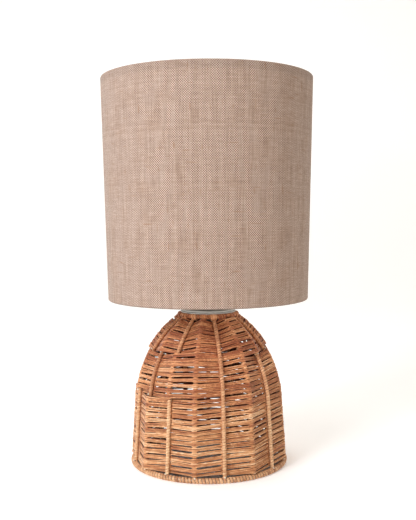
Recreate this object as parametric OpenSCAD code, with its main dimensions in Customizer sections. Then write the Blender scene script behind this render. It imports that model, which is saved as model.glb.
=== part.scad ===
// Table lamp: a woven dome base on a wire frame, a screw lampholder and a cloth drum shade.
// Millimetres, +Z up. The origin is the centre of the circle that the lamp stands on.

/* [Base] */
// Outer radius of the weave at the foot
foot_r = 73.8; // [60:0.2:90]
// Height at which the straight side turns into the dome
shoulder_z = 65; // [50:1:80]
// Outer radius of the weave at that height
shoulder_r = 69.4; // [55:0.2:80]
// Radius of the dome's arc
dome_r = 99; // [90:1:110]
// Height of the wire hoop at the neck
neck_z = 140; // [134:0.5:142]
// Radius of the neck hoop
neck_r = 26; // [25:0.1:28]
// Number of upright wires, odd so that the strands can alternate
rib_count = 17; // [9:2:23]
// Direction of the first upright, from +X
rib_turn = 5.7; // [0:0.1:15]
// Wire radius of one upright
rib_wire_r = 1.2; // [0.8:0.1:1.4]
// Outer radius of the cord wound on an upright
rib_wrap_r = 1.9; // [1.8:0.1:2.3]
// Height of one row of weave
course_h = 3.6; // [3:0.1:5]
// Depth of the groove between two rows
groove_depth = 0.7; // [0.4:0.1:1]
// Thickness of the weave
weave_t = 5.2; // [4.8:0.1:5.6]
// Wire radius of the bottom hoop
hoop_wire_r = 2; // [1.5:0.1:2.2]
// Outer radius of the cord wound on the bottom hoop
rim_wrap_r = 2.9; // [2.6:0.1:3.4]

/* [Shade] */
// Height of the lamp, to the top of the shade
total_h = 360; // [340:1:380]
// Height of the shade
shade_h = 205.5; // [190:0.5:210]
// Outer radius at the top edge
shade_top_r = 98.6; // [90:0.2:110]
// Outer radius at the bottom edge
shade_bottom_r = 93.8; // [88:0.2:110]
// Thickness of the cloth
cloth_t = 0.8; // [0.6:0.1:1]
// Thickness of the stiff liner behind the cloth
liner_t = 0.5; // [0.3:0.1:0.6]
// Wire radius of the shade's two rings
ring_wire_r = 1.4; // [1.2:0.1:1.6]
// How far the cloth is folded in behind each ring
fold_h = 9; // [6:0.5:12]
// Width of the cloth's overlap at the back seam
lap_w = 12; // [8:1:16]
// Number of wire arms that carry the shade
arm_count = 3; // [3:1:4]

/* [Lampholder and bulb] */
// Outer radius of the holder's threaded skirt
skirt_r = 19.6; // [19:0.1:20]
// Radius of the shoulder that the shade's fitter ring rests on
shoulder_flange_r = 24.5; // [23:0.1:26]
// Largest radius of the bulb
bulb_r = 30; // [25:0.5:31]
// Length of the bulb from its tip to its top
bulb_l = 108; // [100:1:115]
// Outer radius of the bulb's screw cap
bulb_cap_r = 13.1; // [12.8:0.05:13.2]

/* [Hidden] */
$fn = 96;

straw = "burlywood";
black_plastic = [0.08, 0.08, 0.08];
zinc = "silver";
white_plastic = [0.93, 0.93, 0.9];
burlap = [0.76, 0.64, 0.53];
touch = 0.05;      // gap left where two fixed pieces meet
air = 0.25;        // gap between pieces that move past each other

// The base's outline: a straight side of length side_l, then an arc about dome_c.
side_a = atan((foot_r - shoulder_r) / shoulder_z);
side_l = shoulder_z / cos(side_a);
dome_c = [shoulder_r - dome_r * cos(side_a), shoulder_z - dome_r * sin(side_a)];
rim_c = [foot_r - 2.3, rim_wrap_r - 0.4];       // centre of the bottom hoop's wire
rib_in = 2.4;                                   // how far a rib's axis lies inside the outline
rib_end_a = atan2(neck_z - dome_c.y, neck_r - dome_c.x) - 0.8; // where a rib meets the neck hoop
weave_s = 2 * rim_wrap_r;                       // where the weave starts above the rim
weave_end_a = rib_end_a - 1.5;
rib_start_s = rim_c.y + hoop_wire_r + 3 * touch;

// Direction of the outline's outward normal at length s, and the point there, moved out by d.
function normal_a(s) = s < side_l ? side_a : side_a + (s - side_l) / dome_r * 180 / PI;
function outline(s, d) = s < side_l
    ? [foot_r - s * sin(side_a) + d * cos(side_a), s * cos(side_a) + d * sin(side_a)]
    : dome_c + (dome_r + d) * [cos(normal_a(s)), sin(normal_a(s))];

// Heights of the stack on the neck.
neck_wire_r = 1.5;
neck_wrap_r = 2.4;
flange_z = neck_z + neck_wrap_r + touch;   // underside of the cap plate
plate_h = 2.6;
plate_top = flange_z + plate_h;
bridge_w = 12;
bridge_t = 1.6;
bridge_low = neck_z - bridge_t / 2;
rib_l = side_l + dome_r * (rib_end_a - side_a) * PI / 180;
row_count = floor((rib_l - weave_s - 1.5) / course_h);
nipple_r = 5;
nipple_bore_r = 4;
nipple_low = neck_z - 11;
nipple_high = plate_top + 10;
bush_bore_r = 3.2;

// Heights of the lampholder, the clamp and the bulb.
holder_z = plate_top;
body_z = holder_z + 18;
seat_z = body_z + 4.5;             // top of the shoulder that the fitter ring rests on
fitter_t = 1.2;
fitter_r = 28;
arm_r = 1.3;
fitter_z = seat_z + air;
clamp_z = fitter_z + fitter_t + air;
skirt_top = body_z + 27;
holder_top = body_z + 34;
insert_low = body_z + 0.4;
insert_top = body_z + 9;
thread_pitch = 2.2;
tip_z = insert_top + 2.2;
cap_z = tip_z + 5;
cap_l = 22;
cap_pitch = 3.62;
cap_turns = 4;
cap_wave = 0.5;
shell_wave_r = bulb_cap_r - cap_wave + 0.45;
collar_z = cap_z + cap_l;
collar_l = 22;
collar_r = 22;
globe_c = tip_z + bulb_l - bulb_r;

// The shade's wall leans out, so its radius follows from the height.
shade_z = total_h - shade_h;
fold_w = cloth_t + liner_t + 2 * ring_wire_r + 4 * touch;
fold_round_r = 1.6;                // outer radius where the cloth turns in
function shade_r(z) = shade_bottom_r + (shade_top_r - shade_bottom_r) * (z - shade_z) / shade_h;
ring_in = cloth_t + liner_t + ring_wire_r + 2 * touch;
bottom_ring_c = [shade_bottom_r - ring_in - touch, shade_z + cloth_t + ring_wire_r + touch];
arm_start = 90;

// Points on an arc of n steps about c.
function arc(c, r, from_a, to_a, n) = [for (i = [0 : n])
    let (a = from_a + (to_a - from_a) * i / n) c + r * [cos(a), sin(a)]];

// A solid of revolution from [radius, height] points.
module turned(points, angle = 360) rotate_extrude(angle = angle) polygon(points);

// A hoop of round wire about +Z, with its axis at [radius, height] c.
module hoop(c, wire_r) rotate_extrude() translate(c) circle(wire_r, $fn = 48);

// A hexagonal nut with a clear hole.
module hex_nut(flats, bore_r, h) difference() {
    cylinder(r = flats / 2 / cos(30), h = h, $fn = 6);
    translate([0, 0, -1]) cylinder(r = bore_r, h = h + 2);
}

// Sets its children on the outline at length s, moved out by d, with their +Z along the outline.
module on_outline(s, d) translate([outline(s, d).x, 0, outline(s, d).y])
    rotate([0, -normal_a(s), 0]) children();

// Repeats its children round +Z.
module ring_of(count, first = 0) for (i = [0 : count - 1]) rotate(first + i * 360 / count) children();

// A 2D section swept where a rib runs: up the straight side, or round the dome.
module side_run(from_s, to_s) on_outline(from_s, -rib_in) linear_extrude(to_s - from_s) children();

module arc_run(from_a, to_a) translate([dome_c.x, 0, dome_c.y]) rotate([90, 0, 0])
    rotate_extrude(start = from_a, angle = to_a - from_a, $fn = 48)
        translate([dome_r - rib_in, 0]) children();

// ---- Woven base ----

module bottom_hoop() color(zinc) hoop(rim_c, hoop_wire_r);

// The cord on the hoop is pressed flat where the lamp stands on it, and lets the ribs through.
module rim_wrap() color(straw) difference() {
    rotate_extrude() difference() {
        translate(rim_c) circle(rim_wrap_r, $fn = 64);
        translate(rim_c) circle(hoop_wire_r + touch / 2, $fn = 48);
        translate([0, -rim_wrap_r]) square([2 * foot_r, rim_wrap_r]);
    }
    ring_of(rib_count, rib_turn) on_outline(rib_start_s, -rib_in) cylinder(r = rib_wire_r + touch, h = 3);
}

// Each upright's wire and its winding are in two lengths, below and above the shoulder.
module frame_ribs() color(zinc) ring_of(rib_count, rib_turn) {
    side_run(rib_start_s, side_l - touch) circle(rib_wire_r, $fn = 20);
    arc_run(side_a, rib_end_a) circle(rib_wire_r, $fn = 20);
}

module rib_wraps() color(straw) ring_of(rib_count, rib_turn) {
    side_run(weave_s, side_l - touch) wrap_section();
    arc_run(side_a, weave_end_a) wrap_section();
}

module wrap_section() difference() {
    circle(rib_wrap_r, $fn = 16);
    circle(rib_wire_r + touch / 2, $fn = 16);
}

// A shell under the outline, with one rounded ridge outside for each row of strands.
module weave() color(straw) {
    steps = 3;
    outer = [for (row = [0 : row_count - 1], i = [0 : steps - 1])
        outline(weave_s + touch + (row + i / steps) * course_h,
            groove_depth * (sin(180 * i / steps) - 1))];
    top_s = weave_s + touch + row_count * course_h;
    inner = [for (row = [row_count : -1 : 0]) outline(weave_s + touch + row * course_h, -weave_t)];
    turned(concat(outer, [outline(top_s, -groove_depth)], inner));
}

module neck_hoop() color(zinc) hoop([neck_r, neck_z], neck_wire_r);

// The cord on the neck hoop lets the ribs and the bridge's ends through to the wire.
module neck_wrap() color(straw) difference() {
    rotate_extrude() translate([neck_r, neck_z]) difference() {
        circle(neck_wrap_r, $fn = 48);
        circle(neck_wire_r + touch / 2, $fn = 48);
    }
    translate([0, 0, neck_z])
        cube([2 * neck_r, bridge_w + 2 * touch, bridge_t + 2 * touch], center = true);
    ring_of(rib_count, rib_turn) on_outline(rib_l - 2, -rib_in) cylinder(r = rib_wire_r + touch, h = 3);
}

// ---- Metal fittings on the neck ----

// A strap welded across the neck hoop, which the hollow nipple passes through.
module neck_bridge() color(zinc) translate([0, 0, neck_z]) difference() {
    intersection() {
        cube([2 * neck_r, bridge_w, bridge_t], center = true);
        cylinder(r = neck_r - neck_wire_r - touch, h = 2 * bridge_t, center = true);
    }
    cylinder(r = nipple_r + touch, h = bridge_t + 2, center = true);
}

// A pressed cap with a flange, a groove round its side and a rolled upper edge.
module cap_plate() color(zinc) translate([0, 0, flange_z]) turned([
    [23.4, 0], [25.9, 0], [25.9, 0.8], [25, 1], [25, 1.3], [25.6, 1.5], [25.6, 2.1],
    [25.1, plate_h], [nipple_r + touch, plate_h], [nipple_r + touch, plate_h - 1],
    [23.4, plate_h - 1]]);

module nipple() color(zinc) translate([0, 0, nipple_low]) difference() {
    cylinder(r = nipple_r, h = nipple_high - nipple_low);
    translate([0, 0, -1]) cylinder(r = nipple_bore_r, h = nipple_high - nipple_low + 2);
}

module lock_washer() color(zinc) translate([0, 0, bridge_low - 1 - touch]) difference() {
    cylinder(r = 9, h = 1);
    translate([0, 0, -1]) cylinder(r = nipple_r + touch, h = 3);
}

module lock_nut() color(zinc) translate([0, 0, bridge_low - 5 - 2 * touch])
    hex_nut(14, nipple_r + touch, 4);

// A flanged bush in the nipple's lower end, where a cord goes in.
module cable_bush() color(black_plastic) translate([0, 0, nipple_low - touch]) difference() {
    union() {
        translate([0, 0, -2]) cylinder(r = 6.6, h = 2);
        cylinder(r = nipple_bore_r - touch, h = 8);
    }
    translate([0, 0, -3]) cylinder(r = bush_bore_r, h = 12);
}

// ---- Lampholder ----

// The rounded screw thread of the bulb's cap as closed rings, about radius r.
function wave(r) = [for (i = [0 : 8 * cap_turns])
    [r - cap_wave * cos(45 * i), cap_z + 1 + i * cap_pitch / 8]];

module holder_cap() color(black_plastic) translate([0, 0, holder_z]) turned([
    [nipple_r + touch, 0], [15, 0], [16.6, 2], [18.6, 14], [18.9, 17.9], [17.1, 17.9],
    [16.8, 14], [14.8, 3], [8.5, 2.6], [8.5, 9], [nipple_r + touch, 9]]);

// Shell with the shoulder for the fitter ring and ridges for the clamp ring's thread.
module holder_body() color(black_plastic) {
    ridges = floor((skirt_top - seat_z - 1) / thread_pitch);
    thread = [for (i = [0 : ridges - 1], p = [[-0.5, 0], [0, 0.8], [0, 1.2], [-0.5, 2]])
        [skirt_r + p.x, seat_z + 0.8 + i * thread_pitch + p.y]];
    turned(concat(
        [[15.4, body_z - 3], [16.6, body_z - 3], [16.6, body_z], [19.2, body_z], [19.6, body_z + 1.5],
         [shoulder_flange_r, body_z + 2.3], [shoulder_flange_r, seat_z], [skirt_r - 0.5, seat_z]],
        thread,
        [[skirt_r - 0.9, skirt_top], [17.2, skirt_top + 1], [16.9, holder_top - 1],
         [16.2, holder_top], [15.4, holder_top]]));
}

// Insulating core that carries the contacts; it has two wire holes and two screw seats.
module holder_insert() color(white_plastic) difference() {
    translate([0, 0, insert_low]) cylinder(r = 15.3, h = insert_top - insert_low);
    ring_of(2) translate([10.5, 0, body_z - 1]) cylinder(r = 1.8, h = 12);
    ring_of(2, 90) translate([9, 0, body_z - 1]) cylinder(r = 1.7, h = 12);
}

// The shell's wave runs beside the bulb cap's, a fixed distance further out.
module screw_shell() color("gold") {
    $fn = 48;
    inside = concat([[13.7, insert_top + touch]], wave(shell_wave_r), [[13.7, holder_top - 1]]);
    turned(concat(inside, [for (i = [len(inside) - 1 : -1 : 0]) inside[i] + [0.5, 0]]));
}

// Spring tongue that the bulb's tip presses on.
module centre_contact() color("gold") translate([-4, -3, insert_top + touch]) {
    cube([10, 6, 0.6]);
    cube([0.6, 6, 1.5]);
    translate([0, 0, 1.5]) cube([8, 6, 0.5]);
}

module side_contact() color("gold") ring_of(1, 90)
    translate([10.8, -2.5, insert_top + touch]) cube([2.1, 5, 3]);

module terminal_screws() color(zinc) ring_of(2, 90) translate([9, 0, insert_low - touch]) difference() {
    union() {
        translate([0, 0, -1.6]) cylinder(r = 2.9, h = 1.6);
        cylinder(r = 1.6, h = 7);
    }
    translate([-3, -0.4, -1.7]) cube([6, 0.8, 1]);
}

// Knurled ring that screws down the skirt and holds the fitter ring on the shoulder.
module shade_ring() color(black_plastic) translate([0, 0, clamp_z]) {
    turned([[skirt_r + air, 0], [25, 0], [25, 1.4], [23.4, 2], [23.4, 7.4],
        [22.8, 8], [skirt_r + air, 8]]);
    ring_of(30) translate([22.9, -0.7, 1.8]) cube([1.2, 1.4, 5.2]);
}

// ---- Bulb ----

module bulb_tip() color(zinc) translate([0, 0, tip_z])
    turned([[0, 0], [3, 0], [4.6, 0.9], [4.6, 1.4], [0, 1.4]]);

module bulb_insulator() color(black_plastic) translate([0, 0, tip_z + 1.4])
    turned([[0, 0], [4.9, 0], [10.6, 3.6], [0, 3.6]]);

module bulb_screw_cap() color(zinc) turned(concat([[11.6, collar_z], [10.6, cap_z], [11.2, cap_z]],
    wave(bulb_cap_r - cap_wave), [[bulb_cap_r, collar_z]]));

module bulb_collar() color(white_plastic) translate([0, 0, collar_z + touch]) turned([
    [11, 0], [13.4, 0], [14.6, 3], [18.6, 13], [collar_r, collar_l], [collar_r - 2, collar_l],
    [16.8, 13], [12.8, 4], [11, 4]]);

// Hollow opal globe: a sphere on a cone that runs tangentially into it from the collar's edge.
module bulb_globe() color([0.97, 0.96, 0.93]) {
    wall = 1.2;
    edge = [collar_r - 0.2, collar_z + collar_l + touch - globe_c];
    join_a = atan2(edge.y, edge.x) + acos(bulb_r / norm(edge));
    translate([0, 0, globe_c]) turned(concat([edge], arc([0, 0], bulb_r, join_a, 90, 16),
        arc([0, 0], bulb_r - wall, 90, join_a, 16), [edge - [wall, 0]]));
}

module led_board() color("white") translate([0, 0, collar_z + collar_l - 3]) {
    difference() {
        cylinder(r = 18, h = 1.6);
        translate([0, 0, -1]) cylinder(r = 2, h = 4);
    }
    ring_of(8) translate([12, -1.5, 1.6 - touch]) cube([3, 3, 0.8]);
}

module led_driver() color("seagreen") {
    translate([-8, -0.8, cap_z + 4]) cube([16, 1.6, collar_l + 12]);
    translate([-5, 0.8, cap_z + 10]) cube([7, 5, 9]);
}

// ---- Shade ----

// The cloth's wall, up to where its edges turn in, with a lapped seam at the back.
module shade_cover() color(burlap) {
    low = shade_z + fold_round_r + touch;
    high = total_h - fold_round_r - touch;
    lap_a = lap_w / shade_bottom_r * 180 / PI;
    lap_t = 0.7;
    turned([[shade_r(low), low], [shade_r(high), high],
        [shade_r(high) - cloth_t, high], [shade_r(low) - cloth_t, low]]);
    rotate(90 - lap_a / 2) turned([
        [shade_r(low) - touch, low], [shade_r(low) + lap_t, low],
        [shade_r(high) + lap_t, high], [shade_r(high) - touch, high]], lap_a);
}

// The cloth's edge, turned in over a ring below it; the edge is at z = 0.
module edge_fold(out_r) {
    lip = out_r - fold_w;
    turned(concat(
        arc([out_r - fold_round_r, -fold_round_r], fold_round_r, 0, 90, 4),
        arc([lip - cloth_t + fold_round_r, -fold_round_r], fold_round_r, 90, 180, 4),
        [[lip - cloth_t, -fold_h], [lip, -fold_h], [lip, -fold_round_r], [lip + 0.8, -cloth_t],
         [out_r - cloth_t - 0.8, -cloth_t], [out_r - cloth_t, -fold_round_r]]));
}

module top_fold() color(burlap) translate([0, 0, total_h]) edge_fold(shade_top_r);

// The lower fold is notched round each arm.
module bottom_fold() color(burlap) difference() {
    translate([0, 0, shade_z]) mirror([0, 0, 1]) edge_fold(shade_bottom_r);
    ring_of(arm_count, arm_start) translate([shade_bottom_r - fold_w - 3, -2.2, shade_z + cloth_t])
        cube([4, 4.4, fold_h]);
}

module shade_liner() color("white") {
    low = shade_z + 2;
    high = total_h - 2;
    out = cloth_t + touch;
    turned([[shade_r(low) - out, low], [shade_r(high) - out, high],
        [shade_r(high) - out - liner_t, high], [shade_r(low) - out - liner_t, low]]);
}

module top_ring() color(zinc)
    hoop([shade_top_r - ring_in - touch, total_h - cloth_t - ring_wire_r - touch], ring_wire_r);

module bottom_ring() color(zinc) hoop(bottom_ring_c, ring_wire_r);

module fitter_ring() color(zinc) translate([0, 0, fitter_z]) difference() {
    cylinder(r = fitter_r, h = fitter_t);
    translate([0, 0, -1]) cylinder(r = skirt_r + 1.1, h = fitter_t + 2);
}

// Straight wires welded to the fitter ring's edge and to the bottom ring.
module fitter_arms() color(zinc) {
    inner_end = [fitter_r - 1, fitter_z + fitter_t / 2];
    run = bottom_ring_c - inner_end;
    difference() {
        ring_of(arm_count, arm_start) translate([inner_end.x, 0, inner_end.y])
            rotate([0, 90 - atan2(run.y, run.x), 0]) cylinder(r = arm_r, h = norm(run));
        cylinder(r = fitter_r + touch, h = total_h);
        hoop(bottom_ring_c, ring_wire_r + touch);
    }
}

bottom_hoop();
rim_wrap();
frame_ribs();
rib_wraps();
weave();
neck_hoop();
neck_wrap();
neck_bridge();
cap_plate();
nipple();
lock_washer();
lock_nut();
cable_bush();
holder_cap();
holder_body();
holder_insert();
screw_shell();
centre_contact();
side_contact();
terminal_screws();
shade_ring();
bulb_tip();
bulb_insulator();
bulb_screw_cap();
bulb_collar();
bulb_globe();
led_board();
led_driver();
shade_cover();
top_fold();
bottom_fold();
shade_liner();
top_ring();
bottom_ring();
fitter_ring();
fitter_arms();
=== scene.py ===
# A table lamp: straw strands woven round a wire frame, a metal neck and a cloth drum shade.
# Metres, +Z up, in the CAD model's frame.
import math

import bpy
import numpy as np
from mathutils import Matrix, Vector


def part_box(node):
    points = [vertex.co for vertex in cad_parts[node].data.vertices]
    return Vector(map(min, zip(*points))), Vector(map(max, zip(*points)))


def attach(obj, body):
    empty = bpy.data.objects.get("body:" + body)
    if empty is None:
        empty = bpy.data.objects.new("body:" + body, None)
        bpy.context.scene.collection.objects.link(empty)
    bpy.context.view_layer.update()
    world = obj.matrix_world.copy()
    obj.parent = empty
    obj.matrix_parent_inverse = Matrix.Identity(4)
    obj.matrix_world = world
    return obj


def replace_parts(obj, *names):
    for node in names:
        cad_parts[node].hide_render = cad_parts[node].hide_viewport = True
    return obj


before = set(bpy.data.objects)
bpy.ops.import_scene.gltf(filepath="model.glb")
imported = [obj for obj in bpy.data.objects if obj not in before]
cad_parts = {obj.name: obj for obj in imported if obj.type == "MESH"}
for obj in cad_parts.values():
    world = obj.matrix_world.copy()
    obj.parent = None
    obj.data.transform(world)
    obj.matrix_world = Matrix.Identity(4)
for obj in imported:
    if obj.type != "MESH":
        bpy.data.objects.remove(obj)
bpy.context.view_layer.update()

MM = 0.001
TAU = 2 * math.pi
RNG = np.random.default_rng(17)

# ---- The base's outline, as the CAD model has it ----

FOOT_R = 73.8 * MM            # outer radius of the weave at the foot
SHOULDER_R = 69.4 * MM        # and where the straight side turns into the dome
SHOULDER_Z = 65 * MM
DOME_R = 99 * MM              # radius of the dome's arc
NECK_Z = 140 * MM
NECK_R = 26 * MM
NECK_WRAP_R = 2.35 * MM       # the neck's cord stays within this of its hoop, to be under the cap
RIBS = 17
RIB_TURN = math.radians(5.7)  # the first rib's angle about +Z
RIB_IN = 2.4 * MM             # how far a rib's axis lies inside the outline
ROPE_R = 1.9 * MM             # radius of a wound rib
RIM_R = FOOT_R - 2.3 * MM     # the bottom hoop's wire
RIM_Z = 2.5 * MM

SIDE_A = math.atan((FOOT_R - SHOULDER_R) / SHOULDER_Z)   # how far the straight side leans in
SIDE_L = SHOULDER_Z / math.cos(SIDE_A)
DOME_CR = SHOULDER_R - DOME_R * math.cos(SIDE_A)         # the dome's arc is about this radius and height
DOME_CZ = SHOULDER_Z - DOME_R * math.sin(SIDE_A)

GROOVE_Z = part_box("cap_plate")[0].z + 1.15 * MM          # the groove round the cap
SHADE_Z0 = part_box("bottom_fold")[0].z
SHADE_Z1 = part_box("top_fold")[1].z


def slope_at(s):
    """How far the outline leans in at length s along it, in radians."""
    return np.where(s < SIDE_L, SIDE_A, SIDE_A + (s - SIDE_L) / DOME_R)


def outline(s, d):
    """Radius and height at length s along the outline, moved outwards by d."""
    s, d = np.broadcast_arrays(np.asarray(s, float), np.asarray(d, float))
    slope = slope_at(s)
    straight_r = FOOT_R - s * math.sin(SIDE_A) + d * math.cos(SIDE_A)
    straight_z = s * math.cos(SIDE_A) + d * math.sin(SIDE_A)
    r = np.where(s < SIDE_L, straight_r, DOME_CR + (DOME_R + d) * np.cos(slope))
    z = np.where(s < SIDE_L, straight_z, DOME_CZ + (DOME_R + d) * np.sin(slope))
    return r, z


def place(angle, s, d):
    """Points on the base at an angle about +Z."""
    r, z = outline(s, d)
    return np.stack([r * np.cos(angle), r * np.sin(angle), z], -1)


def rib_angle(rib):
    return RIB_TURN + rib * TAU / RIBS


# ---- Meshes ----

class Soup:
    """Vertices and quads gathered from many pieces, each with a UV, a tone and a crown.

    A strand's crown is 1 where it faces outwards, 0 at its edges and -1 behind.
    """

    def __init__(self):
        self.points = []
        self.faces = []
        self.uvs = []
        self.tones = []
        self.crowns = []
        self.count = 0

    def grid(self, points, uvs, tone, crown=1.0, closed_u=False, closed_v=True):
        """points is (n, m, 3). It runs n along and m around, and an open tube gets flat ends."""
        n, m = points.shape[:2]
        ids = self.count + np.arange(n * m).reshape(n, m)
        i = np.arange(n if closed_u else n - 1)
        j = np.arange(m if closed_v else m - 1)
        i, j = np.meshgrid(i, j, indexing="ij")
        next_i = (i + 1) % n
        next_j = (j + 1) % m
        quads = np.stack([ids[i, j], ids[next_i, j], ids[next_i, next_j], ids[i, next_j]], -1)
        self.faces.extend(quads.reshape(-1, 4).tolist())
        if closed_v and not closed_u:
            self.faces.append(ids[0].tolist())
            self.faces.append(ids[-1][::-1].tolist())
        self.points.append(points.reshape(-1, 3))
        self.uvs.append(np.broadcast_to(uvs, (n, m, 2)).reshape(-1, 2))
        self.tones.append(np.broadcast_to(tone, (n, m)).reshape(-1))
        self.crowns.append(np.broadcast_to(crown, (n, m)).reshape(-1))
        self.count += n * m

    def mesh(self, name, material):
        """The gathered points and faces as a smooth mesh."""
        mesh = bpy.data.meshes.new(name)
        mesh.from_pydata(np.concatenate(self.points).tolist(), [], self.faces)
        mesh.polygons.foreach_set("use_smooth", np.ones(len(self.faces), bool))
        mesh.materials.append(material)
        return mesh

    def build(self, name, material, body):
        """A piece of the model, riding on a body."""
        mesh = self.mesh(name, material)
        loops = np.zeros(len(mesh.loops), np.int32)
        mesh.loops.foreach_get("vertex_index", loops)
        layer = mesh.uv_layers.new(name="UVMap")
        layer.data.foreach_set("uv", np.concatenate(self.uvs)[loops].ravel().astype(np.float32))
        for kind, values in (("tone", self.tones), ("crown", self.crowns)):
            attribute = mesh.attributes.new(kind, "FLOAT", "POINT")
            attribute.data.foreach_set("value", np.concatenate(values).astype(np.float32))
        mesh.update()
        piece = add_object(name, mesh)
        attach(piece, body)
        return piece


def add_object(name, data):
    thing = bpy.data.objects.new(name, data)
    bpy.context.scene.collection.objects.link(thing)
    return thing


def unit(v):
    return v / np.maximum(np.linalg.norm(v, axis=-1, keepdims=True), 1e-12)


def lengths(path):
    """The length along a path at each of its points."""
    return np.concatenate([[0], np.cumsum(np.linalg.norm(np.diff(path, axis=0), axis=1))])


def smooth(values, passes):
    """Rounds a row of values off, and keeps its ends."""
    values = values.copy()
    for _ in range(passes):
        values[1:-1] = (values[:-2] + 2 * values[1:-1] + values[2:]) / 4
    return values


def facings(sides):
    """The crown of each side of a tube: 1 on its outer face, -1 on its inner one."""
    return np.sin(np.arange(sides) * TAU / sides)


def tube(path, up, half_w, half_t, sides, power=1.0):
    """Cross-sections of a flattened strand along a path. up is about the direction of its width.

    A power below 1 makes the section squarer than an ellipse.
    """
    along = unit(np.gradient(path, axis=0))
    out = unit(np.cross(along, up))
    wide = unit(np.cross(out, along))
    a = np.arange(sides) * TAU / sides
    c = np.sign(np.cos(a)) * np.abs(np.cos(a)) ** power
    s = np.sign(np.sin(a)) * np.abs(np.sin(a)) ** power
    half_w = np.broadcast_to(half_w, len(path))[:, None, None]
    half_t = np.broadcast_to(half_t, len(path))[:, None, None]
    across = wide[:, None] * c[None, :, None] * half_w
    through = out[:, None] * s[None, :, None] * half_t
    return path[:, None] + across + through


def tube_uvs(path, sides):
    """UVs for a tube: U is metres along it, V goes from 0 to 1 around it."""
    return np.stack(np.broadcast_arrays(lengths(path)[:, None], (np.arange(sides) / sides)[None]), -1)


# ---- Materials ----

def srgb(r, g, b):
    """A colour given as it looks on a screen, 0 to 255."""
    linear = [((c / 255 + 0.055) / 1.055) ** 2.4 if c > 10 else c / 255 / 12.92 for c in (r, g, b)]
    return tuple(linear) + (1,)


class Nodes:
    """A material, with short calls for the few node types that it uses."""

    def __init__(self, name, roughness=0.7, **settings):
        self.material = bpy.data.materials.new(name)
        self.material.use_nodes = True
        self.tree = self.material.node_tree
        self.shader = self.tree.nodes["Principled BSDF"]
        self.shader.inputs["Roughness"].default_value = roughness
        for socket, value in settings.items():
            self.shader.inputs[socket.replace("_", " ")].default_value = value

    def feed(self, socket, value):
        """Links a socket into an input, or sets the input to a plain value."""
        if isinstance(value, bpy.types.NodeSocket):
            self.tree.links.new(value, socket)
        else:
            socket.default_value = value

    def node(self, kind, inputs=(), **settings):
        node = self.tree.nodes.new(kind)
        for key, value in settings.items():
            setattr(node, key, value)
        for key, value in dict(inputs).items():
            self.feed(node.inputs[key], value)
        return node

    def math(self, operation, *values):
        return self.node("ShaderNodeMath", enumerate(values), operation=operation).outputs[0]

    def plus(self, a, b):
        return self.math("ADD", a, b)

    def minus(self, a, b):
        return self.math("SUBTRACT", a, b)

    def times(self, a, b):
        return self.math("MULTIPLY", a, b)

    def centred(self, value):
        """A value from 0 to 1, moved to lie about 0."""
        return self.minus(value, 0.5)

    def add_weighted(self, total, *parts):
        for value, weight in parts:
            total = self.plus(total, self.times(value, weight))
        return total

    def uv(self):
        return self.node("ShaderNodeUVMap", uv_map="UVMap").outputs[0]

    def position(self):
        return self.node("ShaderNodeTexCoord").outputs["Object"]

    def height(self):
        """Height above the table, in metres."""
        return self.split(self.position())[2]

    def attribute(self, name):
        return self.node("ShaderNodeAttribute", attribute_name=name).outputs["Fac"]

    def scaled(self, vector, x, y, z=1.0):
        return self.node("ShaderNodeVectorMath", {0: vector, 1: (x, y, z)}, operation="MULTIPLY").outputs[0]

    def raised(self, vector, z):
        """A vector moved along Z."""
        offset = self.node("ShaderNodeCombineXYZ", {2: z}).outputs[0]
        return self.node("ShaderNodeVectorMath", {0: vector, 1: offset}, operation="ADD").outputs[0]

    def split(self, vector):
        return self.node("ShaderNodeSeparateXYZ", {0: vector}).outputs

    def noise(self, vector, scale, detail=2.0, roughness=0.5):
        inputs = {"Vector": vector, "Scale": scale, "Detail": detail, "Roughness": roughness}
        return self.node("ShaderNodeTexNoise", inputs).outputs["Fac"]

    def random_of(self, value):
        return self.node("ShaderNodeTexWhiteNoise", {"W": value}, noise_dimensions="1D").outputs["Value"]

    def remap(self, value, low, high, to_low=0.0, to_high=1.0):
        inputs = {"Value": value, "From Min": low, "From Max": high, "To Min": to_low, "To Max": to_high}
        return self.node("ShaderNodeMapRange", inputs).outputs[0]

    def ramp(self, value, *stops):
        node = self.node("ShaderNodeValToRGB", {0: value})
        elements = node.color_ramp.elements
        while len(elements) < len(stops):
            elements.new(0.5)
        for element, (at, colour) in zip(elements, stops, strict=True):
            element.position = at
            element.color = colour
        return node.outputs[0]

    def mix(self, factor, a, b, blend="MIX"):
        node = self.node("ShaderNodeMix", data_type="RGBA", blend_type=blend)
        for index, value in ((0, factor), (6, a), (7, b)):   # the colour inputs of a Mix node
            self.feed(node.inputs[index], value)
        return node.outputs[2]

    def tinted(self, a, b):
        return self.mix(1.0, a, b, "MULTIPLY")

    def bump(self, height, strength, distance):
        inputs = {"Height": height, "Strength": strength, "Distance": distance}
        self.tree.links.new(self.node("ShaderNodeBump", inputs).outputs[0], self.shader.inputs["Normal"])

    def set(self, socket, value):
        self.tree.links.new(value, self.shader.inputs[socket])


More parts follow.
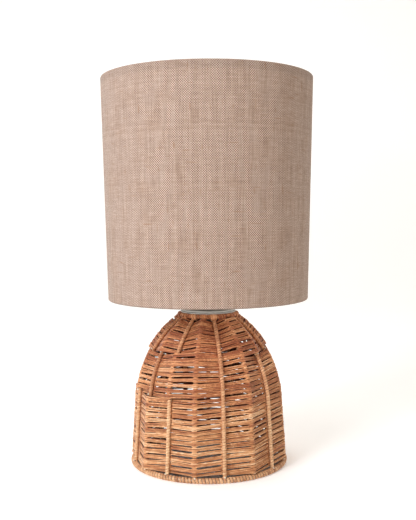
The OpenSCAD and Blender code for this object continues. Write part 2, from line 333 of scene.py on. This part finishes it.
def straw(name, low, middle, high, crease_shade):
    """Straw strands: fibres along U, a tone for each strand, redder towards the neck.

    The last argument is painted shade: what is left of the colour in the grooves beside a strand and on its
    inner face.
    """
    n = Nodes(name, 0.55, Sheen_Weight=0.15, Sheen_Roughness=0.5)
    tone = n.attribute("tone")
    along = n.raised(n.scaled(n.uv(), 90, 1.0), n.times(tone, 37.0))   # each tone has its own noise
    fibres = n.noise(n.scaled(along, 1, 6), 1.0, 4.0, 0.6)
    blotches = n.noise(along, 0.9, 2.0)
    up = n.remap(n.height(), 0.04, 0.12)
    value = n.add_weighted(n.times(fibres, 0.62), (blotches, 0.22), (n.centred(tone), 0.42), (up, -0.07))
    colour = n.ramp(value, (0.27, low), (0.44, middle), (0.63, high))
    redder = n.mix(n.times(up, 0.55), (1, 1, 1, 1), srgb(246, 208, 190), "MULTIPLY")
    colour = n.tinted(colour, redder)
    # painted shade: darker towards a strand's edges and on its inner face
    edge = n.remap(n.add_weighted(n.attribute("crown"), (fibres, 0.5)), 0.95, 0.1)
    n.set("Base Color", n.mix(edge, colour, n.tinted(colour, crease_shade)))
    n.set("Roughness", n.remap(fibres, 0.3, 0.7, 0.45, 0.68))
    n.bump(fibres, 0.5, 0.6 * MM)
    return n.material


# each with its own colour of painted shade for the grooves
STRAW = straw("straw_strand", srgb(164, 96, 56), srgb(218, 158, 106), srgb(254, 220, 178),
              crease_shade=(0.24, 0.085, 0.04, 1))
ROPE = straw("straw_rope", srgb(158, 100, 62), srgb(216, 164, 118), srgb(248, 214, 170),
             crease_shade=(0.55, 0.34, 0.2, 1))


def burlap():
    """Plain weave of slubby threads. U and V are metres round and up the shade."""
    n = Nodes("burlap", 0.88, Sheen_Weight=0.08, Sheen_Roughness=0.6)
    thread = 1.0 * MM
    uv = n.uv()
    wobble = n.times(n.centred(n.noise(uv, 60.0)), 0.9)
    warp, weft = [n.plus(n.math("DIVIDE", side, thread), wobble) for side in n.split(uv)[:2]]
    warp_wave, weft_wave = [n.math("SINE", n.times(side, math.pi)) for side in (warp, weft)]
    checks = n.times(warp_wave, weft_wave)
    warp_shade, weft_shade = [n.centred(n.random_of(n.math("FLOOR", side))) for side in (warp, weft)]
    up_streaks = n.noise(n.scaled(uv, 900, 38), 1.0, 3.0, 0.6)
    round_streaks = n.noise(n.scaled(uv, 100, 1100), 1.0, 3.0, 0.6)
    patches = n.noise(n.scaled(uv, 60, 40), 1.0, 3.0)
    contrast = n.remap(patches, 0.35, 0.65, 0.16, 0.58)
    value = n.add_weighted(n.plus(n.times(checks, contrast), 0.5), (warp_shade, 0.07), (weft_shade, 0.05),
                           (n.centred(up_streaks), 0.4), (n.centred(round_streaks), 0.36))
    colour = n.ramp(value, (0.2, srgb(102, 76, 62)), (0.5, srgb(162, 136, 118)), (0.8, srgb(215, 194, 180)))
    slubs_up = n.noise(n.scaled(uv, 420, 60), 1.0, 1.0)
    slubs_round = n.noise(n.scaled(uv, 50, 500), 1.0, 1.0)
    slubs = n.math("MAXIMUM", n.remap(slubs_up, 0.68, 0.75), n.remap(slubs_round, 0.7, 0.76))
    colour = n.mix(n.times(slubs, 0.5), colour, srgb(140, 98, 62))
    height = n.height()
    folded = n.remap(height, SHADE_Z1 - 8.5 * MM, SHADE_Z1 - 7 * MM, 0.0, 0.12)   # painted shade, where the doubled cloth lets less light through
    # painted shade on the bottom edge, where the cloth turns under
    bottom_shade = n.remap(height, SHADE_Z0 + 1.6 * MM, SHADE_Z0 + 0.6 * MM, 0.0, 0.3)
    n.set("Base Color", n.mix(n.math("MAXIMUM", folded, bottom_shade), colour, (0, 0, 0, 1)))
    relief = n.plus(n.times(checks, 0.5), n.times(up_streaks, 0.6))
    n.bump(relief, 0.4, 0.4 * MM)
    return n.material


BURLAP = burlap()


def metal(name, colour, roughness, brushed=0.0):
    """Bare metal with faint blotches, brushed round the lamp's axis."""
    n = Nodes(name, roughness, Metallic=1.0)
    grain = n.noise(n.scaled(n.position(), 60, 60, 2400), 1.0, 3.0)
    blotch = n.noise(n.position(), 90.0, 3.0)
    shade = n.add_weighted(n.remap(blotch, 0.3, 0.7, 0.9, 1.04), (n.centred(grain), brushed))
    n.set("Base Color", n.tinted(colour, shade))
    n.set("Roughness", n.remap(blotch, 0.3, 0.7, roughness - 0.06, roughness + 0.08))
    n.bump(grain, 0.08, 0.2 * MM)
    return n.material


def cap_metal():
    """Satin metal, with painted shadow in the groove round the cap."""
    n = Nodes("satin_cap", 0.42, Metallic=0.35)
    grain = n.noise(n.scaled(n.position(), 60, 60, 2400), 1.0, 3.0)
    from_groove = n.math("ABSOLUTE", n.minus(n.height(), GROOVE_Z))
    groove = n.remap(from_groove, 0.35 * MM, 0.1 * MM)
    # painted shadow along the groove, uneven round it
    groove_shadow = n.times(groove, n.remap(n.noise(n.position(), 160.0), 0.3, 0.6, 0.35, 0.85))
    unshaded = n.tinted(srgb(200, 199, 195), n.remap(grain, 0.3, 0.7, 0.92, 1.05))
    n.set("Base Color", n.mix(groove_shadow, unshaded, srgb(62, 58, 54)))
    n.set("Roughness", n.remap(grain, 0.3, 0.7, 0.36, 0.5))
    n.bump(grain, 0.1, 0.1 * MM)
    return n.material


def moulded(name, colour, roughness, grain_size=2600.0, bump=0.12, **settings):
    """A moulded, glazed, blown or coated surface with a fine grain."""
    n = Nodes(name, roughness, **settings)
    grain = n.noise(n.position(), grain_size, 2.0)
    blotch = n.noise(n.position(), 70.0, 3.0)
    n.set("Base Color", n.tinted(colour, n.remap(blotch, 0.3, 0.7, 0.97, 1.02)))
    n.set("Roughness", n.remap(blotch, 0.3, 0.7, roughness - 0.05, roughness + 0.07))
    n.bump(grain, bump, 0.1 * MM)
    return n.material


ZINC = metal("zinc_plate", srgb(186, 186, 182), 0.3, 0.12)
WIRE = metal("bare_wire", srgb(150, 146, 140), 0.42, 0.1)
BRASS = metal("pressed_brass", srgb(214, 178, 108), 0.25, 0.1)
CAP_METAL = cap_metal()
SOLDER = metal("solder", srgb(150, 152, 156), 0.5)
BLACK = moulded("black_holder", srgb(28, 28, 29), 0.42)
PORCELAIN = moulded("porcelain", srgb(232, 230, 222), 0.2, 900.0, 0.05)
BULB_BODY = moulded("bulb_body", srgb(236, 236, 232), 0.4)
OPAL = moulded("opal_globe", srgb(244, 243, 236), 0.3, 1800.0, 0.04, Subsurface_Weight=0.2)
BOARD = moulded("circuit_board", srgb(34, 96, 60), 0.45)
LED_WHITE = moulded("emitter_board", srgb(240, 238, 226), 0.5)
COATED = moulded("white_coating", srgb(226, 224, 218), 0.38)
GLUE = moulded("dried_glue", srgb(232, 218, 196), 0.35, 900.0, 0.05)
LINER = moulded("laminate", srgb(238, 232, 222), 0.6, 600.0, 0.1)

NODE_MATERIALS = {
    "bottom_hoop": WIRE, "frame_ribs": WIRE, "neck_hoop": WIRE, "neck_bridge": ZINC,
    "cap_plate": CAP_METAL, "nipple": ZINC, "lock_washer": ZINC, "lock_nut": ZINC,
    "cable_bush": BLACK, "holder_cap": BLACK, "holder_body": BLACK, "holder_insert": PORCELAIN,
    "screw_shell": BRASS, "centre_contact": BRASS, "side_contact": BRASS, "terminal_screws": ZINC,
    "shade_ring": BLACK, "bulb_tip": SOLDER, "bulb_insulator": BLACK, "bulb_screw_cap": ZINC,
    "bulb_collar": BULB_BODY, "bulb_globe": OPAL, "led_board": LED_WHITE, "led_driver": BOARD,
    "shade_liner": LINER, "top_ring": COATED, "bottom_ring": COATED, "fitter_ring": COATED,
    "fitter_arms": COATED,
}
for node_name, material in NODE_MATERIALS.items():
    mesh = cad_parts[node_name].data
    mesh.materials.clear()
    mesh.materials.append(material)


# ---- Woven base ----

FIRST_ROPE = 13                        # the rib whose rope shows all the way up
BANDS = (73 * MM, 112 * MM)            # lengths along the outline where some ribs change sides
COURSE = 4.6 * MM                      # height of a row
STARTS = 5                             # strands side by side, so that each climbs five rows in a turn
RISE = COURSE * STARTS / RIBS
LOW_S, LOWEST_S = 9.0 * MM, 5.0 * MM   # rows crowd together from one to the other
HIGH_S, HIGHEST_S = 148 * MM, 152.4 * MM   # and again under the neck
OVERRUN = 5.5 * MM                     # how far past them a strand goes on, before it is crowded
STRAND_T = 1.2 * MM                    # half the depth of a strand
PRESSED = 0.15 * MM                    # how far a strand is pressed into the cord that it passes
OUTSIDE_D = -RIB_IN + ROPE_R + STRAND_T - PRESSED   # a strand's place in front of a rib
INSIDE_D = -RIB_IN - ROPE_R - STRAND_T + PRESSED    # and behind it
ROW_WOBBLE = 0.26 * MM
KNOT_REACH = 0.055                     # how far from a rib a strand starts to bend, as a share of a panel
FREE_FROM, FREE_FADE = 0.04, 0.07      # where rows begin to part beside a rib, and how gradually
ROW_FULL = 1.1                         # width of a strand on a rib, in rows
ROW_PARTED = 0.1                       # how much of it goes everywhere between the ribs
ROW_GAPS = (0.15, 0.34)                # and how much more, before a panel's slack
LOOSE_END = HIGH_S - 15 * MM           # a panel's own slack counts from the low band up to this
BACK_FROM, BACK_SLACK = 4, 0.75        # outside that, ribs further round than this have closer rows
BUNDLES = 3                            # bundles of fibre in a strand
BUNDLE_EDGE = 0.08                     # how unevenly they share its width
BUNDLE_FAN = 0.15 * MM
BUNDLE_DEPTHS = (0.8, 1.15)
BUNDLE_W = 0.54                        # half a bundle's width as a share of its place, so that they touch
BUNDLE_POWER = 0.92
BUNDLE_BLEND = 0.3                     # how gradually a bundle changes at a rib, as a share of a panel
STRAND_SIDES = 10
SPREAD = (0.025, 0.055, 0.1, 0.17, 0.27, 0.38)      # where a strand has points, as shares of a panel


def from_first(rib):
    """How many ribs to the right of the first rope a rib is, from -8 to 8."""
    return (np.asarray(rib) - FIRST_ROPE + RIBS // 2) % RIBS - RIBS // 2


def rope_shows(rib, s):
    """True where a rib's rope lies outside the strands.

    It does on every second rib, but half of the middle band and half of the top one are a rib on.
    """
    rib = from_first(rib)
    middle = (s > BANDS[0]) & (s < BANDS[1])
    top = s > BANDS[1]
    return (rib % 2 == 0) != ((middle & (rib < -1)) | (top & (rib > 1)))


rib_lift = RNG.normal(0, 0.35 * MM, RIBS)       # how much higher than level rows cross each rib
for offset, lift in ((-1, -0.25), (0, 0.25), (1, 0.3), (2, 0.8)):
    rib_lift[(FIRST_ROPE + offset) % RIBS] = lift * MM
panel_slack = RNG.uniform(0.8, 1.3, RIBS)       # how far rows part above the low band, after each rib
for offset, slack in ((-2, 1.35), (-1, 0.8), (0, 1.2)):
    panel_slack[(FIRST_ROPE + offset) % RIBS] = slack


def crowd(s):
    """Where a row at length s ends up, and how much narrower it gets, near the rim and the neck."""
    low = LOW_S - LOWEST_S
    high = HIGHEST_S - HIGH_S
    below = np.exp(-np.maximum(LOW_S - s, 0) / low)
    above = np.exp(-np.maximum(s - HIGH_S, 0) / high)
    moved = np.where(s < LOW_S, LOWEST_S + low * below, s)
    moved = np.where(s > HIGH_S, HIGHEST_S - high * above, moved)
    return moved, np.minimum(below, above)


def up_outline(path, s):
    """Directions up the outline at points of a path."""
    angle = np.arctan2(path[:, 1], path[:, 0])
    slope = slope_at(s)
    return np.stack([-np.sin(slope) * np.cos(angle), -np.sin(slope) * np.sin(angle), np.cos(slope)], -1)


def weave_strand(soup, start):
    """One strand from the rim to the neck, as bundles of fibre that part and meet again."""
    first = math.ceil((LOW_S - OVERRUN - COURSE * start) / RISE)
    last = math.floor((HIGH_S + OVERRUN - COURSE * start) / RISE)
    ribs = np.arange(first, last + 1)
    index = np.arange(len(ribs))
    s, narrow = crowd(COURSE * start + RISE * ribs)
    shows = rope_shows(ribs % RIBS, s)
    level = np.clip(1.3 - s / SIDE_L, 0.2, 1)       # rows are more level towards the neck
    s = s + (rib_lift[ribs % RIBS] * level + RNG.normal(0, ROW_WOBBLE, len(s))) * narrow
    knots = place(rib_angle(ribs), s, np.where(shows, INSIDE_D, OUTSIDE_D))
    shares = np.array((0,) + SPREAD + tuple(1 - x for x in SPREAD[::-1]))
    t = np.append((index[:-1, None] + shares).ravel(), index[-1])

    def rounded(values, reach):
        """Values between knots on straight runs, rounded off within reach of each knot."""
        return np.mean([np.interp(t + x, index, values) for x in np.linspace(-reach, reach, 7)], axis=0)

    path = np.stack([rounded(knots[:, k], KNOT_REACH) for k in range(3)], -1)
    up = up_outline(path, np.interp(t, index, s))
    narrowing = np.interp(t, index, narrow)
    within = np.clip((np.minimum(t % 1, 1 - t % 1) - FREE_FROM) / FREE_FADE, 0, 1)
    panel = np.minimum(t.astype(int), len(index) - 2)
    low_slack = np.where(np.abs(from_first(ribs)) > BACK_FROM, BACK_SLACK, 1.0)
    loose = np.where((s > BANDS[0]) & (s < LOOSE_END), panel_slack[ribs % RIBS], low_slack)
    full = ROW_FULL - within * (ROW_PARTED + RNG.uniform(*ROW_GAPS, len(index)) * loose)[panel]
    width = narrowing * COURSE * full
    sag = within * RNG.normal(0, ROW_WOBBLE, len(index))[panel]
    edges = np.linspace(-0.5, 0.5, BUNDLES + 1)[:, None] + np.zeros((BUNDLES + 1, len(index)))
    edges[1:-1] += RNG.normal(0, BUNDLE_EDGE, (BUNDLES - 1, len(index)))
    edges = np.stack([rounded(row, BUNDLE_BLEND) for row in edges])
    strand_tone = RNG.uniform(0, 1, len(index))
    for m in range(BUNDLES):
        share = edges[m + 1] - edges[m]
        centre = (edges[m + 1] + edges[m]) / 2 * width + sag
        fan = rounded(RNG.normal(0, BUNDLE_FAN, len(index)), BUNDLE_BLEND) * narrowing
        depth = STRAND_T * rounded(RNG.uniform(*BUNDLE_DEPTHS, len(index)), BUNDLE_BLEND)
        inward = RNG.uniform(0, 0.3) * MM
        line = path + up * (centre + fan)[:, None]
        line[:, :2] *= 1 - inward / np.linalg.norm(line[:, :2], axis=1, keepdims=True)
        sections = tube(line, up, share * width * BUNDLE_W, depth, STRAND_SIDES, BUNDLE_POWER)
        tones = rounded(0.45 * strand_tone + 0.55 * RNG.uniform(0, 1, len(index)), 0.5)
        soup.grid(sections, tube_uvs(line, STRAND_SIDES), tones[:, None], facings(STRAND_SIDES))


for start in range(STARTS):
    strands = Soup()
    weave_strand(strands, start)
    piece = strands.build(f"weave_strand_{start + 1}", STRAW, "base")
    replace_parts(piece, "weave")


# ---- Wound cords and glue ----

def wound(line, radius, width, depth, turns, sides, steps, start_side, phase=0.0):
    """A flat cord wound round a line of points, turn beside turn, from start_side turned by phase."""
    t = np.linspace(0, 1, int(turns * steps) + 1)
    length = lengths(line) / lengths(line)[-1]
    axis = np.stack([np.interp(t, length, line[:, k]) for k in range(3)], -1)
    along = unit(np.gradient(axis, axis=0))
    side = unit(np.cross(along, start_side))
    other = np.cross(along, side)
    turn = t * turns * TAU + phase
    out = side * np.cos(turn)[:, None] + other * np.sin(turn)[:, None]
    path = axis + out * radius
    return tube(path, along, width, depth, sides, 0.85), tube_uvs(path, sides)


ROPE_TURNS = 62
ROPE_SIDES = 6


def wind_rib(soup, rib):
    """The cord round a rib, from the rim to the neck."""
    angle = rib_angle(rib)
    s = np.linspace(RIM_Z + 2.3 * MM, HIGHEST_S + 0.3 * MM, 80)
    line = place(np.full(len(s), angle), s, -RIB_IN)
    sections, uvs = wound(line, radius=1.25 * MM, width=1.25 * MM, depth=0.62 * MM, turns=ROPE_TURNS,
                          sides=ROPE_SIDES, steps=9, start_side=(math.cos(angle), math.sin(angle), 0))
    soup.grid(sections, uvs, RNG.uniform(0.45, 0.75), facings(ROPE_SIDES))


ropes = Soup()
for rib in range(RIBS):
    wind_rib(ropes, rib)
rope_piece = ropes.build("rib_ropes", ROPE, "base")
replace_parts(rope_piece, "rib_wraps")


def bead(soup, centre, size):
    """A small uneven drop of dried glue."""
    lat = np.radians(np.linspace(-78, 78, 7))
    lon = np.arange(8) * TAU / 8
    ball = np.stack([np.cos(lat)[:, None] * np.cos(lon), np.cos(lat)[:, None] * np.sin(lon),
                     np.sin(lat)[:, None] + 0 * lon], -1)
    uneven = 1 + 0.18 * np.sin(ball @ RNG.normal(0, 2.5, 3))[..., None]
    soup.grid(centre + ball * uneven * size * RNG.uniform(0.75, 1.2, 3), np.zeros(2), 0.5)


def glue_rib_ends():
    """Glue where a rope goes in behind the strands, and where it meets the rim."""
    soup = Soup()
    s = np.linspace(LOW_S, HIGH_S, 400)
    for rib in range(RIBS):
        shows = rope_shows(rib, s)
        ends = list(s[1:][shows[1:] != shows[:-1]]) + [LOWEST_S + 0.5 * MM]
        for end in ends:
            angle = rib_angle(rib) + RNG.normal(0, 0.7 * MM) / FOOT_R
            centre = place(angle, end + RNG.normal(0, 1 * MM), -0.3 * MM)
            bead(soup, centre, RNG.uniform(0.6, 0.95) * MM)
    soup.build("glue_beads", GLUE, "base")


glue_rib_ends()

HOOP_SIDES = 8


def ring_line(radius, height, start=0.0, end=TAU, points=240):
    """Points round a circle about the lamp's axis."""
    a = np.linspace(start, end, points)
    return np.stack([radius * np.cos(a), radius * np.sin(a), np.full(points, height)], -1)


def wind_ring(soup, radius, height, wrap_r, width, depth, turns):
    """The cord round a hoop, pressed flat where it would go below the table."""
    sections, uvs = wound(ring_line(radius, height), wrap_r, width, depth, turns, HOOP_SIDES, 12, (0, 0, 1))
    sections[:, :, 2] = np.maximum(sections[:, :, 2], 0)
    tone = 0.5 + 0.3 * smooth(RNG.normal(0, 1, len(sections)), 8)
    soup.grid(sections, uvs, tone[:, None], facings(HOOP_SIDES))


def tie_ribs(soup):
    """Thicker turns of cord round the neck hoop, where each rib is tied to it."""
    for rib in range(RIBS):
        angle = rib_angle(rib) + RNG.normal(0, 0.04)
        reach = RNG.uniform(2.0, 3.6) * MM / NECK_R
        line = ring_line(NECK_R, NECK_Z - 0.4 * MM, angle - reach, angle + reach, 30)
        turns = RNG.integers(2, 4)
        sections, uvs = wound(line, radius=RNG.uniform(2.3, 2.7) * MM, width=1.1 * MM, depth=0.6 * MM,
                              turns=turns, sides=HOOP_SIDES, steps=14, start_side=(0, 0, 1), phase=math.pi)
        sections[:, :, 2] = np.minimum(sections[:, :, 2], NECK_Z + NECK_WRAP_R)
        soup.grid(sections, uvs, RNG.uniform(0.2, 0.9), facings(HOOP_SIDES))


rim = Soup()
wind_ring(rim, RIM_R, RIM_Z, wrap_r=2.1 * MM, width=1.35 * MM, depth=0.6 * MM, turns=150)
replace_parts(rim.build("rim_winding", ROPE, "base"), "rim_wrap")
neck = Soup()
wind_ring(neck, NECK_R, NECK_Z, wrap_r=1.7 * MM, width=1.3 * MM, depth=0.5 * MM, turns=66)
tie_ribs(neck)
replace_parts(neck.build("neck_winding", STRAW, "base"), "neck_wrap")


# ---- Shade ----

SHADE_R0, SHADE_R1 = 93.8 * MM, 98.6 * MM   # outside of the cloth, at the bottom and at the top
CLOTH_T = 0.8 * MM
FOLD_IN = 4.3 * MM          # from the outside of the cloth to the outside of its folded edge
FOLD_H = 9 * MM
EDGE_R = 1.6 * MM           # outer radius where the cloth turns in
RIPPLE = 0.12 * MM
SEAM_ANGLE = TAU / 4        # straight behind
LAP_W = 12 * MM             # the overlap at the back seam
LAP_T = 0.7 * MM
LAP_IN = 0.4 * MM           # how far the lap's back goes into the cloth under it


def corner(r, z, first):
    """Points on a quarter turn about a corner of the cloth's section."""
    a = np.radians(first + np.linspace(0, 90, 6))
    return [(r + EDGE_R * math.cos(x), z + EDGE_R * math.sin(x)) for x in a]


def shade_profile():
    """Half section of the cloth: up the outside, over the top ring and down, and back inside it."""
    t = CLOTH_T
    bend = EDGE_R - t
    lip0 = SHADE_R0 - FOLD_IN - t
    lip1 = SHADE_R1 - FOLD_IN - t
    z0 = SHADE_Z0 + EDGE_R
    z1 = SHADE_Z1 - EDGE_R
    wall = [(SHADE_R0 + (SHADE_R1 - SHADE_R0) * f, z0 + (z1 - z0) * f) for f in np.linspace(0, 1, 40)[1:-1]]
    outside = corner(lip0 + EDGE_R, z0, 180) + corner(SHADE_R0 - EDGE_R, z0, 270) + wall
    outside += corner(SHADE_R1 - EDGE_R, z1, 0) + corner(lip1 + EDGE_R, z1, 90)
    inside = [(lip1, SHADE_Z1 - FOLD_H), (lip1 + t, SHADE_Z1 - FOLD_H), (lip1 + t, z1),
              (lip1 + t + bend, SHADE_Z1 - t), (SHADE_R1 - t - bend, SHADE_Z1 - t), (SHADE_R1 - t, z1)]
    inside += [(r - t, z) for r, z in wall[::-3]]
    inside += [(SHADE_R0 - t, z0), (SHADE_R0 - t - bend, SHADE_Z0 + t), (lip0 + t + bend, SHADE_Z0 + t),
               (lip0 + t, z0), (lip0 + t, SHADE_Z0 + FOLD_H), (lip0, SHADE_Z0 + FOLD_H)]
    return np.array(outside + inside)


def make_shade():
    """The cloth round the shade, with a slight ripple."""
    profile = shade_profile()
    a = np.linspace(0, TAU, 220, endpoint=False) + SEAM_ANGLE
    ripple = RIPPLE * (np.sin(3 * a + 0.7) + 0.6 * np.sin(7 * a + 2.1) + 0.4 * np.sin(13 * a))
    radius = profile[None, :, 0] + ripple[:, None]
    height = np.broadcast_to(profile[None, :, 1], radius.shape)
    points = np.stack([radius * np.cos(a)[:, None], radius * np.sin(a)[:, None], height], -1)
    uvs = np.stack(np.broadcast_arrays((a * SHADE_R1)[:, None], lengths(profile)[None]), -1)
    soup = Soup()
    soup.grid(points, uvs, 0.5, closed_u=True)
    piece = soup.build("shade_cloth", BURLAP, "shade")
    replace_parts(piece, "shade_cover", "top_fold", "bottom_fold")
    return piece


def make_seam():
    """The cloth's overlap down the back, glued and pressed flat."""
    z = np.linspace(SHADE_Z0 + EDGE_R, SHADE_Z1 - EDGE_R, 60)
    r = SHADE_R0 + (SHADE_R1 - SHADE_R0) * (z - SHADE_Z0) / (SHADE_Z1 - SHADE_Z0)
    across = np.linspace(-0.5, 0.5, 13)
    rise = LAP_T * np.clip((0.5 - np.abs(across)) * 12, 0.25, 1)
    rise = np.concatenate([rise, np.full(len(across), -LAP_IN)])
    across = np.concatenate([across, across[::-1]])
    a = SEAM_ANGLE + across * LAP_W / SHADE_R0
    wave = 0.25 * MM * np.sin(z * 90)[:, None] * across[None] / SHADE_R0
    radius = r[:, None] + rise[None]
    height = np.broadcast_to(z[:, None], radius.shape)
    points = np.stack([radius * np.cos(a + wave), radius * np.sin(a + wave), height], -1)
    uvs = np.stack(np.broadcast_arrays((across * LAP_W)[None] + 0.7, z[:, None]), -1)
    soup = Soup()
    soup.grid(points, uvs, 0.5)
    return soup.build("shade_seam", BURLAP, "shade")


shade_cloth = make_shade()
shade_seam = make_seam()


# ---- Room, light and camera ----

FLOOR_HALF = 3.0            # the floor is this wide to each side, and as long to the front
BEND_R = 0.5                # radius where the floor turns up into the wall
WALL_Y = 1.6
WALL_TOP = 3.0
GLOW = 0.2


def backdrop():
    """A pale floor that curves up into a wall behind, with a faint painted glow outside the lamp's foot;
    under the foot it doesn't glow, which paints shade inside the base.
    """
    n = Nodes("pale_paper", 0.9)
    across, back, _ = n.split(n.position())
    radius = n.math("SQRT", n.plus(n.times(across, across), n.times(back, back)))
    # painted light: the floor glows, but not under the foot, so the base's inside stays in painted shade
    painted_glow = n.remap(radius, FOOT_R - 6 * MM, FOOT_R - 2 * MM)
    paper = n.mix(n.noise(n.position(), 3.0), srgb(250, 250, 249), srgb(253, 253, 252))
    n.set("Base Color", paper)
    n.shader.inputs["Emission Color"].default_value = (1, 1, 1, 1)
    n.set("Emission Strength", n.times(painted_glow, GLOW))
    turn = np.radians(np.linspace(0, 90, 16))[1:]
    section = [(-FLOOR_HALF, 0.0), (-1.0, 0.0), (WALL_Y - BEND_R, 0.0)]
    section += [(WALL_Y - BEND_R + BEND_R * math.sin(a), BEND_R - BEND_R * math.cos(a)) for a in turn]
    section += [(WALL_Y, WALL_TOP)]
    points = np.array([[(x, y, z) for y, z in section] for x in np.linspace(-FLOOR_HALF, FLOOR_HALF, 7)])
    soup = Soup()
    soup.grid(points, np.zeros(2), 0.5, closed_v=False)
    add_object("backdrop", soup.mesh("backdrop", n.material))


def aim(thing, target):
    direction = Vector(target) - thing.location
    thing.rotation_euler = direction.to_track_quat("-Z", "Y").to_euler()


def area_light(name, location, target_z, size, power, colour=(1, 1, 1)):
    """A square light aimed at the lamp's axis."""
    light = bpy.data.lights.new(name, "AREA")
    light.size = size
    light.energy = power
    light.color = colour
    lamp = add_object(name, light)
    lamp.location = location
    aim(lamp, (0, 0, target_z))


backdrop()
area_light("key", (-0.95, -1.15, 0.95), target_z=0.18, size=0.6, power=20, colour=(0.96, 0.98, 1.04))
area_light("fill", (1.2, -1.0, 0.5), target_z=0.18, size=1.2, power=2.2, colour=(1, 0.78, 0.6))
area_light("top", (-0.2, 0.2, 1.5), target_z=0.1, size=1.0, power=9)

world = bpy.data.worlds.new("studio")
world.use_nodes = True
background = world.node_tree.nodes["Background"]
background.inputs["Color"].default_value = (1, 0.91, 0.79, 1)
background.inputs["Strength"].default_value = 0.39
bpy.context.scene.world = world
bpy.context.scene.view_settings.view_transform = "Standard"

CAMERA_AT = (0.0005, -0.747, 0.2326)
CAMERA_PITCH = 3.2          # degrees down
CAMERA_ROLL = 0.39
CAMERA_LENS = 54.8
camera_data = bpy.data.cameras.new("camera")
camera_data.lens = CAMERA_LENS
camera = add_object("camera", camera_data)
camera.location = CAMERA_AT
camera.rotation_euler = (math.radians(90 - CAMERA_PITCH), math.radians(CAMERA_ROLL), 0)
bpy.context.scene.camera = camera
